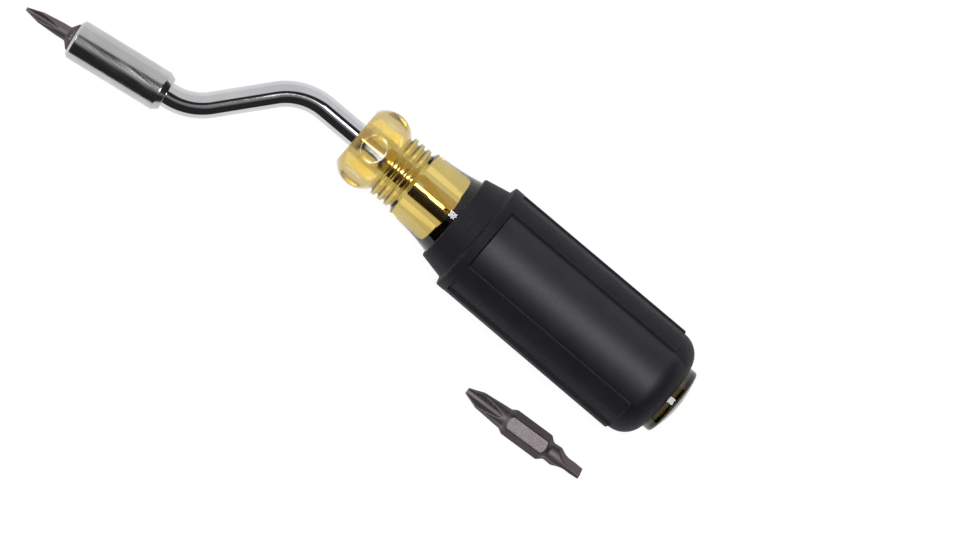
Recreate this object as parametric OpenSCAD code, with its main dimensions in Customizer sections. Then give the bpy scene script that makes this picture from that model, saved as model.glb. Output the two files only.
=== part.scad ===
// Cranked multi-bit screwdriver: core, cushion grip, bent shaft, bit holder and two double-ended bits.
// The origin is the centre of the butt face, +X runs along the handle to the knob and +Z is up.
// The shaft is bent in the XY plane, and the working tip turns on a line through the origin.

/* [Handle core] */
// Length of the handle, butt face to knob face
handle_len = 126.3; // [120:0.1:140]
// Largest diameter of the knob, over its lobes
knob_d = 26.2; // [25.4:0.1:28]
// Length of the knob
knob_len = 13.1; // [12:0.1:14]
// Radius of the knob's round back, along the handle
knob_crest_r = 8; // [7.6:0.1:9]
// Number of finger flutes round the knob
flute_count = 6; // [5:1:8]
// Radius of the cutter that makes a flute
flute_r = 14; // [10:0.5:18]
// Diameter of the circle that touches the floors of the flutes
flute_floor_d = 23.6; // [22.4:0.1:24.4]
// Diameter of the neck just behind the knob
neck_d = 19; // [17:0.1:19]
// Length of the plain neck between the knob and the first ring
neck_len = 0.5; // [0.3:0.1:2]
// Number of neck rings
ring_count = 3; // [1:1:5]
// Distance from one neck ring to the next
ring_pitch = 2.5; // [2.3:0.1:3]
// Diameter over the neck rings
ring_d = 21.4; // [20.4:0.1:22.6]
// Length of a ring's sloping front, towards the knob
ring_front = 0.4; // [0.2:0.05:0.5]
// Length of a ring's flat top
ring_top = 1.2; // [0.6:0.05:1.2]
// Length of a ring's sloping rear
ring_rear = 0.4; // [0.2:0.05:0.5]
// Diameter at the bottom of the grooves between the rings
groove_d = 19.4; // [19.1:0.1:20.2]
// Diameter of the skirt where it starts
skirt_d = 23; // [21.8:0.1:25]
// Length of the chamfer where the skirt starts
skirt_chamfer = 1.2; // [0.4:0.1:2]
// Length of the skirt, rings to front edge of the grip
skirt_len = 16.9; // [12:0.1:24]
// Diameter of the core inside the grip
core_d = 27; // [25.4:0.1:27.6]
// Diameter of the butt, which stands out of the grip
butt_d = 22.7; // [20:0.1:24]
// Length of butt that stands out of the grip
butt_len = 4.5; // [2.8:0.1:6]
// Height of the butt's domed end
butt_dome = 1.8; // [0.8:0.1:2.4]
// Diameter of the flat at the middle of the dome
butt_flat_d = 8; // [5:0.1:12]

/* [Cushion grip] */
// Diameter of the grip's front lip
lip_d = 29.6; // [28.8:0.1:31]
// Chamfer on the front lip
lip_edge = 0.6; // [0.3:0.05:0.9]
// Diameter of the front cone where it meets the collar
cone_d = 33.1; // [31.4:0.1:34]
// Length of the front cone
cone_len = 8.2; // [5:0.1:12]
// Diameter of the collar
collar_d = 37.6; // [37.5:0.1:39]
// Length of the collar
collar_len = 3.7; // [2:0.1:6]
// Length that the collar's front face leans back
collar_lean = 0.6; // [0.2:0.05:0.9]
// Chamfer on the collar's front edge
collar_edge = 0.6; // [0.3:0.05:0.9]
// Diameter of the plain body between the pads, at the collar
grip_d = 35.8; // [34.4:0.1:36.6]
// Diameter over the pads, at the collar
pad_d = 37.4; // [36.8:0.1:37.4]
// Growth of both diameters from the collar to the tail
grip_growth = 0.4; // [0.2:0.1:1]
// Distance from the rear ends of the pads to the rounded tail
pad_inset = 0.4; // [0.2:0.1:6]
// Width of one pad, as an angle
pad_angle = 23.2; // [16:0.1:30]
// Angle from one pad to the next
pad_step = 45; // [40:1:50]
// Number of pads in one group, between two smooth panels
pad_count = 3; // [1:2:3]
// Turn of the smooth panels away from straight up
panel_turn = -7.2; // [-20:0.1:20]
// Radius of the grip's rounded rear end
tail_r = 7.7; // [7.5:0.1:10]
// Wall of rubber behind the core's rear shoulder
tail_wall = 3; // [1.6:0.1:5]

/* [Shaft] */
// Diameter of the round shaft
shaft_d = 7.94; // [7:0.01:9]
// Depth of shaft held in the core
shaft_seat = 72; // [50:1:90]
// Straight shaft between the knob face and the first bend
lead_len = 12.6; // [6:0.1:24]
// Angle of the first bend
bend_angle = 49.4; // [35:0.1:60]
// Radius of both bends, at the middle of the shaft
bend_r = 18.4; // [14:0.1:21]
// Distance between the corners of the two bends
crank_len = 34.6; // [30:0.1:50]
// Straight shaft between the second bend and the bit holder
tip_len = 1.2; // [0.6:0.1:20]
// Swell that bending leaves in the shaft's radius at the ends of a bend
bend_swell = 0.02; // [0.01:0.01:0.06]
// Width across the two anchor wings inside the core
wing_span = 13; // [10:0.1:18]
// Thickness of an anchor wing
wing_t = 2.4; // [1.6:0.1:4]
// Length of an anchor wing
wing_len = 10; // [6:0.1:20]
// Distance from the inner end of the shaft to its wings
wing_inset = 6; // [2:0.1:20]

/* [Bit holder] */
// Outer diameter of the holder
holder_d = 12.7; // [12.2:0.1:15]
// Diameter of the holder at its rear end
holder_rear_d = 10.3; // [9.4:0.1:12]
// Depth of shaft held in the holder
holder_seat = 6; // [4:0.1:12]
// Length of the cone at the rear of the holder
holder_taper = 2; // [1:0.1:4]
// Chamfer round the mouth of the holder
mouth_chamfer = 0.8; // [0.4:0.1:1.2]
// Length of bit that stands out of the holder
bit_reach = 16.7; // [16.5:0.1:20]
// Wire diameter of the retaining ring
wire_d = 0.8; // [0.6:0.05:1]
// Distance from the mouth to the middle of the retaining ring
ring_depth = 4; // [3:0.1:6]
// Open angle of the retaining ring
ring_gap = 50; // [20:1:90]

/* [Double-ended bits] */
// Width of the bits across their hex flats
bit_af = 7.94; // [7.6:0.01:8.2]
// Diameter over the hex corners, which are rounded off
bit_corner_d = 9.1; // [8.8:0.01:9.1]
// Length of a bit
bit_len = 42.9; // [42:0.1:50]
// Distance from the cross point to the full hex
hex_start = 16.2; // [15.6:0.1:18]
// Length of the full hex
hex_len = 12.9; // [10:0.1:14]
// Length of the cone at each end of the hex
hex_cone = 1.8; // [1.2:0.1:2.4]
// Blunt diameter at the cross point of the large bit
point_d = 2.4; // [2.4:0.1:2.8]
// Diameter of the round shank behind the cross point of the large bit
shank_d = 7; // [6:0.1:7.4]
// Core left between opposite flutes of the large bit, where they are deepest
web_d = 1.9; // [1.6:0.1:1.9]
// Width of a flute's flat floor on the large bit
floor_w = 1.1; // [0.8:0.05:1.1]
// Neck between the hex and the blade of the large bit
blade_neck_d = 6; // [5:0.1:6.3]
// Blade width of the large bit
blade_w = 6.35; // [5:0.05:6.6]
// Blade thickness of the large bit, at its end
blade_t = 1; // [0.8:0.05:1.4]
// Blunt diameter at the cross point of the small bit
small_point_d = 1.3; // [1.3:0.1:1.6]
// Diameter of the round shank behind the cross point of the small bit
small_shank_d = 4.5; // [4:0.1:5]
// Core left between opposite flutes of the small bit, where they are deepest
small_web_d = 1; // [0.8:0.1:1]
// Width of a flute's flat floor on the small bit
small_floor_w = 0.55; // [0.4:0.05:0.6]
// Neck between the hex and the blade of the small bit
small_blade_neck_d = 4.7; // [4:0.1:5]
// Blade width of the small bit
small_blade_w = 4.76; // [4:0.01:5.2]
// Blade thickness of the small bit, at its end
small_blade_t = 0.8; // [0.6:0.05:1.2]
// Length of a cross point
cross_len = 5; // [4:0.1:6]
// Radius of the wheel that grinds the flutes of a cross point
wheel_r = 31.4; // [26:0.1:34]
// Distance from the blunt end of the point to where the wheel cuts deepest
wheel_at = 1; // [0.4:0.1:1.6]
// Angle between the two walls of a flute
wall_angle = 92; // [86:1:94]
// Length of the ground blade
blade_len = 9.3; // [8:0.1:10]
// Radius of the run-out behind the blade
blade_runout_r = 5; // [2:0.1:6]
// Growth of the blade's thickness from its end to the run-out
blade_rise = 0.7; // [0:0.05:1]
// Turn of the blade from the upper hex flat
blade_turn = -68; // [-90:1:90]
// Place of the spare bit along the handle, at its middle
spare_x = 29.1; // [20:0.1:120]
// Place of the spare bit beside the handle, at its middle
spare_y = 36.4; // [26:0.1:80]
// Turn of the spare bit from the handle's line
spare_turn = 3.7; // [-20:0.1:20]

/* [Fits] */
// Clearance between pieces that are moulded, pressed or stretched together
tight_fit = 0.02; // [0.01:0.01:0.05]
// Clearance on each side of a bit in the holder
bit_fit = 0.08; // [0.05:0.01:0.15]

/* [Hidden] */
$fn = 96;
// Length that a cut runs past the face it opens on
past = 1;
// Distance inside a bend's swell at which the straight shaft stops
bend_lap = 0.1;

// Stations along the handle, measured back from the knob face
rings_at = knob_len + neck_len;
skirt_at = rings_at + ring_count * ring_pitch;
flare_at = skirt_at + skirt_chamfer;
grip_at = skirt_at + skirt_len;
flare_rise = (core_d - skirt_d) / 2;
flare_r = (pow(grip_at - flare_at, 2) + pow(flare_rise, 2)) / (2 * flare_rise);
grip_end = handle_len - butt_len;
shoulder_end = grip_end - tail_wall;
shoulder_at = shoulder_end - (core_d - butt_d) / 2;
dome_at = handle_len - butt_dome;
dome_depth = (pow(butt_d / 2, 2) - pow(butt_flat_d / 2, 2) + pow(butt_dome, 2)) / (2 * butt_dome);
dome_r = norm([butt_flat_d / 2, dome_depth]);
collar_at = grip_at + cone_len;
body_at = collar_at + collar_len;
pad_root_r = (core_d + grip_d) / 4;
pad_at = body_at - collar_len / 2;
pad_end_r = (pad_d + grip_growth) / 2;
tail_axis_r = (grip_d + grip_growth) / 2 - tail_r;
tail_at = grip_end - sqrt(pow(tail_r, 2) - pow(butt_d / 2 + tight_fit - tail_axis_r, 2));

// The bent line of the shaft: corner_1 and corner_2 are where its straight stretches would meet
corner_1 = [handle_len + lead_len + bend_r * tan(bend_angle / 2), 0];
corner_2 = corner_1 + crank_len * [cos(bend_angle), sin(bend_angle)];
tip_angle = atan2(corner_2.y, corner_2.x);
bend_back = bend_angle - tip_angle;
crank_straight = crank_len - bend_r * (tan(bend_angle / 2) + tan(bend_back / 2));

// Stations along the working axis, measured from the origin
arc_2_end_at = norm(corner_2) + bend_r * tan(bend_back / 2);
holder_at = arc_2_end_at + tip_len;
bit_depth = bit_len - bit_reach;
holder_len = holder_seat + bit_depth + bit_fit;
bit_point_at = holder_at + holder_len + bit_reach;

// The retaining ring touches the corners of the bit
ring_r = bit_corner_d / 2 + bit_fit + wire_d / 2;
ring_groove_r = ring_r + wire_d / 2 + bit_fit;

floor_z = -collar_d / 2;

// Places a piece drawn along Z on the handle's line, from the knob face back
module along_handle() {
    translate([handle_len, 0, 0]) rotate([0, -90, 0]) children();
}

// Places a piece drawn along Z on the working axis, pointing out from station at
module along_tip(at) {
    rotate([0, 0, tip_angle]) translate([at, 0, 0]) rotate([0, 90, 0]) children();
}

// Half outline of the knob: a round back between two flat faces
module knob_outline() {
    intersection() {
        translate([knob_d / 2 - knob_crest_r, knob_len / 2]) circle(knob_crest_r);
        square([knob_d, knob_len]);
    }
}

// Half outline of one neck ring: a flat top between two slopes
module ring_outline() {
    top_end = ring_front + ring_top;
    polygon([[0, 0], [groove_d / 2, 0], [ring_d / 2, ring_front], [ring_d / 2, top_end],
        [groove_d / 2, top_end + ring_rear], [groove_d / 2, ring_pitch], [0, ring_pitch]]);
}

// Half outline of the skirt: a short chamfer, then a flare that curves out to the grip
module skirt_outline() {
    polygon([[0, skirt_at], [groove_d / 2, skirt_at], [skirt_d / 2, flare_at], [0, flare_at]]);
    difference() {
        translate([0, flare_at]) square([core_d / 2, grip_at - flare_at]);
        translate([skirt_d / 2 + flare_r, flare_at]) circle(flare_r);
    }
}

// Half outline of the core inside the grip, out to the butt with its domed end, all round by grow
module rear_outline(grow = 0) {
    butt_r = butt_d / 2 + grow;
    polygon([[0, grip_at], [core_d / 2 + grow, grip_at], [core_d / 2 + grow, shoulder_at + grow],
        [butt_r, shoulder_end + grow], [butt_r, dome_at], [0, dome_at]]);
    intersection() {
        translate([0, dome_at]) square([butt_r, butt_dome]);
        translate([0, handle_len - dome_depth]) circle(dome_r);
    }
}

// The end of the shaft that the core is moulded round, all round by grow
module shaft_anchor(grow = 0) {
    cylinder(d = shaft_d + 2 * grow, h = shaft_seat + grow);
    translate([0, 0, shaft_seat - wing_inset - wing_len / 2])
        cube([wing_t, wing_span, wing_len] + 2 * grow * [1, 1, 1], center = true);
}

module handle_core() {
    color("gold") along_handle() difference() {
        rotate_extrude() {
            knob_outline();
            translate([0, knob_len]) square([neck_d / 2, neck_len]);
            for (i = [0 : ring_count - 1]) translate([0, rings_at + i * ring_pitch]) ring_outline();
            skirt_outline();
            rear_outline();
        }
        for (i = [0 : flute_count - 1]) rotate(i * 360 / flute_count)
            translate([flute_floor_d / 2 + flute_r, 0, -past]) cylinder(r = flute_r, h = knob_len + past);
        shaft_anchor(tight_fit);
        translate([0, 0, -past]) cylinder(d = shaft_d + 2 * tight_fit, h = 2 * past);
    }
}

// Half outline of the grip outside, with its collar and its rounded tail
module grip_outline() {
    polygon([[0, grip_at], [lip_d / 2 - lip_edge, grip_at], [lip_d / 2, grip_at + lip_edge],
        [cone_d / 2, collar_at], [collar_d / 2 - collar_edge, collar_at + collar_lean],
        [collar_d / 2, collar_at + collar_lean + collar_edge], [collar_d / 2, body_at],
        [grip_d / 2, body_at], [tail_axis_r + tail_r, tail_at], [0, tail_at]]);
    intersection() {
        translate([tail_axis_r, tail_at]) circle(tail_r);
        translate([0, tail_at]) square([tail_axis_r + tail_r, tail_r]);
    }
}

// One raised pad, centred on the direction of local X, that starts inside the collar
module grip_pad() {
    rotate(-pad_angle / 2) rotate_extrude(angle = pad_angle)
        polygon([[pad_root_r, pad_at], [pad_d / 2, pad_at], [pad_end_r, tail_at - pad_inset],
            [pad_root_r, tail_at - pad_inset]]);
}

module cushion_grip() {
    color("dimgray") along_handle() difference() {
        union() {
            rotate_extrude() grip_outline();
            for (side = [90, -90]) for (i = [0 : pad_count - 1])
                rotate(panel_turn + side + (i - (pad_count - 1) / 2) * pad_step) grip_pad();
        }
        rotate_extrude() rear_outline(tight_fit);
    }
}

// A straight stretch of shaft along X, between two stations
module shaft_bar(from, to) {
    translate([from, 0, 0]) rotate([0, 90, 0]) cylinder(d = shaft_d, h = to - from);
}

// Moves to the end of a bend that starts along X: turn is positive to the left
module after_bend(turn) {
    centre_y = sign(turn) * bend_r;
    translate([0, centre_y, 0]) rotate(turn) translate([0, -centre_y, 0]) children();
}

// One bend of the shaft that starts along X, with the slight swell that bending leaves at its two ends
module shaft_bend(turn) {
    mirror([0, turn < 0 ? 1 : 0, 0]) translate([0, bend_r, 0]) rotate(-90)
        rotate_extrude(angle = abs(turn)) translate([bend_r, 0]) circle(d = shaft_d);
    for (end = [0, turn]) after_bend(end) rotate([0, 90, 0]) sphere(d = shaft_d + 2 * bend_swell);
}

module shaft() {
    color("silver") {
        along_handle() shaft_anchor();
        translate([handle_len, 0, 0]) {
            shaft_bar(0, lead_len - bend_lap);
            translate([lead_len, 0, 0]) {
                shaft_bend(bend_angle);
                after_bend(bend_angle) {
                    shaft_bar(bend_lap, crank_straight - bend_lap);
                    translate([crank_straight, 0, 0]) {
                        shaft_bend(-bend_back);
                        after_bend(-bend_back) shaft_bar(bend_lap, tip_len + holder_seat);
                    }
                }
            }
        }
    }
}

// Hex prism with one flat facing local X
module hex_bar(across, length) {
    rotate(30) cylinder(r = across / sqrt(3), h = length, $fn = 6);
}

module bit_holder() {
    socket_af = bit_af + 2 * bit_fit;
    color("silver") along_tip(holder_at) difference() {
        rotate_extrude() polygon([[0, 0], [holder_rear_d / 2, 0], [holder_d / 2, holder_taper],
            [holder_d / 2, holder_len - mouth_chamfer], [holder_d / 2 - mouth_chamfer, holder_len],
            [0, holder_len]]);
        translate([0, 0, -past]) cylinder(d = shaft_d + 2 * tight_fit, h = holder_seat + past);
        translate([0, 0, holder_seat]) hex_bar(socket_af, holder_len);
        translate([0, 0, holder_len - ring_depth - wire_d / 2 - bit_fit])
            cylinder(r = ring_groove_r, h = wire_d + 2 * bit_fit);
        translate([0, 0, holder_len - mouth_chamfer])
            cylinder(r1 = socket_af / 2, r2 = socket_af / 2 + 2 * mouth_chamfer, h = 2 * mouth_chamfer);
    }
}

module retaining_ring() {
    color("gray") along_tip(holder_at + holder_len - ring_depth)
        rotate(ring_gap / 2) rotate_extrude(angle = 360 - ring_gap)
            translate([ring_r, 0]) circle(d = wire_d);
}

// Half outline of a bit before its flutes and blade are cut, from the cross point to the blade end
module bit_outline(point, shank, neck, blade) {
    hex_end = hex_start + hex_len;
    polygon([[0, 0], [point / 2, 0], [shank / 2, cross_len], [shank / 2, hex_start - hex_cone],
        [bit_corner_d / 2, hex_start], [bit_corner_d / 2, hex_end], [neck / 2, hex_end + hex_cone],
        [blade / 2, bit_len - blade_len], [blade / 2, bit_len], [0, bit_len]]);
}

// Cutter for one flute of a cross point, facing local X: a wheel's rim with a flat edge and two sloping walls
module cross_flute(web, floor) {
    rim = bit_corner_d;
    wall_out = floor / 2 + rim * tan(wall_angle / 2);
    translate([web / 2 + wheel_r, 0, wheel_at]) rotate([90, 0, 0]) rotate_extrude()
        polygon([[wheel_r, -floor / 2], [wheel_r, floor / 2], [wheel_r - rim, wall_out],
            [wheel_r - rim, -wall_out]]);
}

// Cutter for one face of the blade: a slight taper with a round run-out, facing local X
module blade_face(blade, thick) {
    flat_at = bit_len - blade_len + blade_runout_r;
    root = (thick + blade_rise) / 2;
    rotate([90, 0, 0]) translate([0, 0, -blade]) linear_extrude(2 * blade) {
        translate([root + blade_runout_r, flat_at]) circle(blade_runout_r);
        polygon([[root, flat_at], [thick / 2, bit_len], [thick / 2, bit_len + past],
            [blade, bit_len + past], [blade, flat_at]]);
    }
}

// A double-ended bit along Z: cross point at the origin, hex in the middle, flat blade at the far end
module double_bit(point, shank, web, floor, neck, blade, thick) {
    difference() {
        intersection() {
            rotate_extrude() bit_outline(point, shank, neck, blade);
            hex_bar(bit_af, bit_len);
        }
        for (i = [0 : 3]) rotate(i * 90) cross_flute(web, floor);
        for (i = [0, 180]) rotate(blade_turn + i) blade_face(blade, thick);
    }
}

module working_bit() {
    color("slategray") along_tip(bit_point_at) rotate([180, 0, 0])
        double_bit(small_point_d, small_shank_d, small_web_d, small_floor_w, small_blade_neck_d,
            small_blade_w, small_blade_t);
}

module spare_bit() {
    color("slategray") translate([spare_x, spare_y, floor_z + bit_af / 2]) rotate([0, 0, spare_turn])
        translate([bit_len / 2, 0, 0]) rotate([0, -90, 0])
            double_bit(point_d, shank_d, web_d, floor_w, blade_neck_d, blade_w, blade_t);
}

handle_core();
cushion_grip();
shaft();
bit_holder();
retaining_ring();
working_bit();
spare_bit();
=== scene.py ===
"""Looks of a cranked multi-bit screwdriver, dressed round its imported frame."""

import logging
import math
from abc import ABC, abstractmethod
from dataclasses import dataclass, field
from enum import Enum
from functools import reduce
from typing import Any, Sequence, Union

import bmesh
import bpy
from mathutils import Matrix, Vector


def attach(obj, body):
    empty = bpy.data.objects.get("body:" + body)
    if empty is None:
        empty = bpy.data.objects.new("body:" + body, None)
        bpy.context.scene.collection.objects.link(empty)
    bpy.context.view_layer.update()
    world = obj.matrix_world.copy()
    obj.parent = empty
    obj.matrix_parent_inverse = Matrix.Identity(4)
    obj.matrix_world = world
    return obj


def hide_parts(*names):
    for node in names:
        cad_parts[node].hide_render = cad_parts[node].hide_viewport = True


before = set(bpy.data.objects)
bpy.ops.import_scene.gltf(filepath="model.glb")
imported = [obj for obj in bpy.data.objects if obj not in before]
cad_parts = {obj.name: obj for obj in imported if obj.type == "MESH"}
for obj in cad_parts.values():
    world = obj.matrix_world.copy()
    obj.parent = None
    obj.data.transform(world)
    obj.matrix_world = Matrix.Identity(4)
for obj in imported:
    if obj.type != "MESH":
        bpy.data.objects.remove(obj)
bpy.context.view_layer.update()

LOG = logging.getLogger("screwdriver")
MM = 0.001
# Points nearer than this, in metres, are merged.
WELD = 2e-6
# The longest step of an arc, and the radius in millimetres past which its steps get shorter.
ARC_STEP = math.radians(7.5)
WIDE_ARC = 20.0
# Edges that turn by more than this are shaded sharp.
SHARP = math.radians(50)
# How much further apart the rows of a plain stretch are, and the part of a step that is let go.
PLAIN_STEP = 5.0
HAIR = 1e-6
# Degrees of arc with close rows, which keep the shading crisp beside a kink.
CRISP = 0.1
# The least that a rule divides by.
LEAST = 0.01
# The mesh attribute of a bit's turned and ground ends.
WORKED = "worked"
# The turns of the working axis and of the grip's panels, in degrees.
TIP_TURN = 8.79078
PANEL_TURN = -7.2
# The height of the floor, in millimetres.
FLOOR = -18.8

Socket = bpy.types.NodeSocket
Feed = Union[float, int, Sequence[float], Socket]
Colour = tuple[float, float, float]
Place = tuple[float, float, float]
Pair = tuple[float, float]


class Body(Enum):
    """The moving bodies that pieces ride on."""

    DRIVER = "driver"
    WORKING_BIT = "working_bit"
    SPARE_BIT = "spare_bit"


class Slot(Enum):
    """The record's material slots."""

    ACETATE = "amber_acetate"
    RUBBER = "black_rubber"
    SHAFT = "chrome_shaft"
    HOLDER = "chrome_holder"
    WIRE = "spring_wire"
    BIT = "bit_steel"


class NodeMaker:
    """Adds nodes to one shader or geometry tree and feeds their sockets."""

    def __init__(self, tree: bpy.types.NodeTree) -> None:
        """Keeps the tree that is filled."""
        self.tree = tree

    def begin(self, inputs: dict[str, str], outputs: dict[str, str]) -> bpy.types.NodeOutputs:
        """Gives the tree its own named sockets.

        Args:
            inputs: The kind of each input, by its name.
            outputs: The kind of each output, by its name.

        Returns:
            The sockets that the inputs are read from.
        """
        for kinds, side in ((inputs, "INPUT"), (outputs, "OUTPUT")):
            for name, kind in kinds.items():
                self.tree.interface.new_socket(name=name, in_out=side, socket_type="NodeSocket" + kind)
        return self.add("NodeGroupInput", {}).outputs

    def feed(self, socket: Socket, value: Any) -> None:
        """Links a socket to another one, or sets it to a plain value.

        Args:
            socket: The input to feed.
            value: An output socket or a plain value.
        """
        if isinstance(value, Socket):
            self.tree.links.new(value, socket)
        else:
            socket.default_value = value

    def add(self, kind: str, feeds: dict[Union[str, int], Any], **settings: Any) -> bpy.types.Node:
        """Adds a node.

        Args:
            kind: The node's type name.
            feeds: What goes into its inputs, by name or place.
            **settings: The node's own properties.

        Returns:
            The new node.
        """
        node = self.tree.nodes.new(kind)
        for name, value in settings.items():
            setattr(node, name, value)
        for name, value in feeds.items():
            self.feed(node.inputs[name], value)
        return node

    def math(self, operation: str, *values: Feed) -> Socket:
        """Gives the result of an operation on one to three numbers."""
        return self.add("ShaderNodeMath", dict(enumerate(values)), operation=operation).outputs[0]

    def product(self, *values: Feed) -> Socket:
        """Multiplies two or more numbers."""
        return reduce(lambda total, value: self.math("MULTIPLY", total, value), values)

    def ramp(self, value: Feed, low: Feed, high: Feed, start: float, end: float) -> Socket:
        """Goes smoothly from start to end as a number goes from low to high, and stays there beyond."""
        feeds = {"Value": value, "From Min": low, "From Max": high, "To Min": start, "To Max": end}
        return self.add("ShaderNodeMapRange", feeds, interpolation_type="SMOOTHSTEP").outputs["Result"]

    def fade(self, length: Socket, ends: Pair, levels: Pair = (0.0, 1.0)) -> Socket:
        """Goes smoothly from one level to another between two lengths in millimetres."""
        return self.ramp(length, ends[0] * MM, ends[1] * MM, *levels)

    def choose(self, factor: Feed, first: Feed, second: Feed) -> Socket:
        """Goes from one number to another with a factor."""
        feeds = {"Factor": factor, 2: first, 3: second}
        return self.add("ShaderNodeMix", feeds, data_type="FLOAT").outputs[0]

    def mix(self, factor: Feed, first: Any, second: Any) -> Socket:
        """Mixes two colours.

        Args:
            factor: The share of the second colour.
            first: A colour or socket.
            second: A colour or socket.

        Returns:
            The mixed colour's socket.
        """
        node = self.add("ShaderNodeMix", {"Factor": factor}, data_type="RGBA")
        for place, value in ((6, first), (7, second)):
            plain = value if isinstance(value, Socket) else (*value, 1.0)
            self.feed(node.inputs[place], plain)
        return node.outputs[2]

    def where(self) -> Socket:
        """Gives the place on the object."""
        return self.add("ShaderNodeTexCoord", {}).outputs["Object"]

    def split(self, vector: Socket) -> bpy.types.NodeOutputs:
        """Gives the X, Y and Z of a vector."""
        return self.add("ShaderNodeSeparateXYZ", {0: vector}).outputs

    def noise(self, place: Socket, scale: Feed, detail: float = 2.0, roughness: float = 0.5) -> Socket:
        """Gives the level of a noise."""
        feeds = {"Vector": place, "Scale": scale, "Detail": detail, "Roughness": roughness}
        return self.add("ShaderNodeTexNoise", feeds).outputs[0]


def freeze(piece: bpy.types.Object) -> None:
    """Turns a piece's evaluated modifiers into its plain mesh.

    Args:
        piece: The object, whose modifiers are removed.
    """
    seen = piece.evaluated_get(bpy.context.evaluated_depsgraph_get())
    mesh = bpy.data.meshes.new_from_object(seen)
    old = piece.data
    piece.modifiers.clear()
    piece.data = mesh
    bpy.data.meshes.remove(old)
    mesh.name = piece.name


def close_up(mesh: bpy.types.Mesh) -> None:
    """Merges doubles and turns all faces outwards.

    Args:
        mesh: The mesh of one or more closed shells.
    """
    shell = bmesh.new()
    shell.from_mesh(mesh)
    bmesh.ops.remove_doubles(shell, verts=shell.verts, dist=WELD)
    bmesh.ops.recalc_face_normals(shell, faces=shell.faces)
    shell.to_mesh(mesh)
    shell.free()


def new_object(name: str, data: bpy.types.ID) -> bpy.types.Object:
    """Puts a mesh, lamp or camera into the scene as an object at the origin.

    Args:
        name: The object's name.
        data: What it shows.

    Returns:
        The new object.
    """
    made = bpy.data.objects.new(name, data)
    bpy.context.scene.collection.objects.link(made)
    return made


def line_piece(name: str, points: Sequence[Vector]) -> bpy.types.Object:
    """Makes an object of points joined in order, for a geometry tree to work on.

    Args:
        name: The piece's name.
        points: The points in millimetres.

    Returns:
        The new object.
    """
    mesh = bpy.data.meshes.new(name)
    edges = [(place, place + 1) for place in range(len(points) - 1)]
    mesh.from_pydata([tuple(value * MM for value in point) for point in points], edges, [])
    return new_object(name, mesh)


def grow(piece: bpy.types.Object, tree: bpy.types.NodeTree, values: dict[str, Any]) -> None:
    """Runs a geometry tree on a piece and keeps the result as its mesh.

    Args:
        piece: The object to work on.
        tree: The geometry tree.
        values: The tree's inputs by name.
    """
    modifier = piece.modifiers.new(tree.name, "NODES")
    modifier.node_group = tree
    for item in tree.interface.items_tree:
        if item.in_out == "INPUT" and item.name in values:
            modifier[item.identifier] = values[item.name]
    freeze(piece)
    close_up(piece.data)


def end_tree(make: NodeMaker, shape: Socket, finish: Socket) -> None:
    """Ends a geometry tree: smooth faces with sharp corners, realized and with its finish.

    Args:
        make: The tree's maker.
        shape: The geometry so far.
        finish: The material.
    """
    smooth = make.add("GeometryNodeSetShadeSmooth", {"Geometry": shape, "Shade Smooth": True}).outputs[0]
    angle = make.add("GeometryNodeInputMeshEdgeAngle", {}).outputs["Unsigned Angle"]
    feeds = {"Geometry": smooth, "Selection": make.math("GREATER_THAN", angle, SHARP), "Shade Smooth": False}
    edged = make.add("GeometryNodeSetShadeSmooth", feeds, domain="EDGE").outputs[0]
    real = make.add("GeometryNodeRealizeInstances", {"Geometry": edged}).outputs[0]
    dressed = make.add("GeometryNodeSetMaterial", {"Geometry": real, "Material": finish}).outputs[0]
    make.add("NodeGroupOutput", {0: dressed})


def stand_for(piece: bpy.types.Object, node: str, body: Body) -> None:
    """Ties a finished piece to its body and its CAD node.

    Args:
        piece: The finished piece.
        node: The CAD node that it stands for.
        body: The body that it rides on.
    """
    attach(piece, body.value)
    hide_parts(node)
    LOG.info("%s: %d faces on %s", piece.name, len(piece.data.polygons), body.value)


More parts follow.
